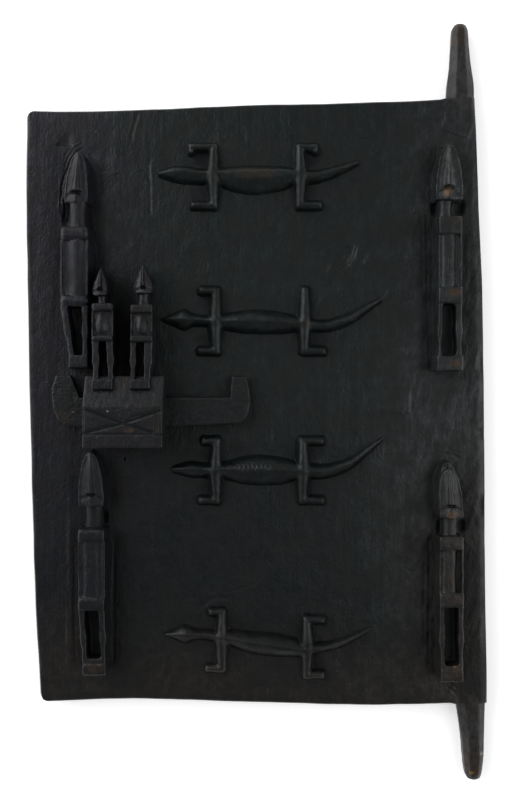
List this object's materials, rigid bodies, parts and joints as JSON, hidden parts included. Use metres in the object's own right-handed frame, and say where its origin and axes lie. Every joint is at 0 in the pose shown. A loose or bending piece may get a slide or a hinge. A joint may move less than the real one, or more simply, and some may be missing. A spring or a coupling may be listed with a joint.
{
  "type": "carved granary door",
  "caption": "Small pivoting door leaf hewn from one plank, carved with standing figures and lizards in relief, with a wooden lock whose bolt slides sideways.",
  "frame": {"origin": "middle of the door's overall outline, on the plane of its flat back, on which it lies", "axes": "+X across the leaf towards its pivot pegs, +Y up the door as it hangs, +Z out of the carved face"},
  "size_m": [0.5527, 0.9156, 0.0883],
  "materials": {
    "leaf_wood": "hand-hewn hardwood with a near-black smoke and handling patina, satin, worn to brown on chins, bars and peg tips",
    "lock_wood": "carved hardwood with a near-black patina, satin, arrises rubbed paler",
    "bolt_wood": "smooth-cut hardwood with a dark patina, polished a little by sliding"
  },
  "bodies": {
    "door": {"door_leaf": "leaf_wood", "lock_case": "lock_wood"},
    "bolt": {"lock_bolt": "bolt_wood"}
  },
  "joints": [
    {"name": "bolt_slide", "type": "slide", "parent": "door", "child": "bolt", "axis": [-1, 0, 0], "range_m": [0, 0.075]}
  ]
}
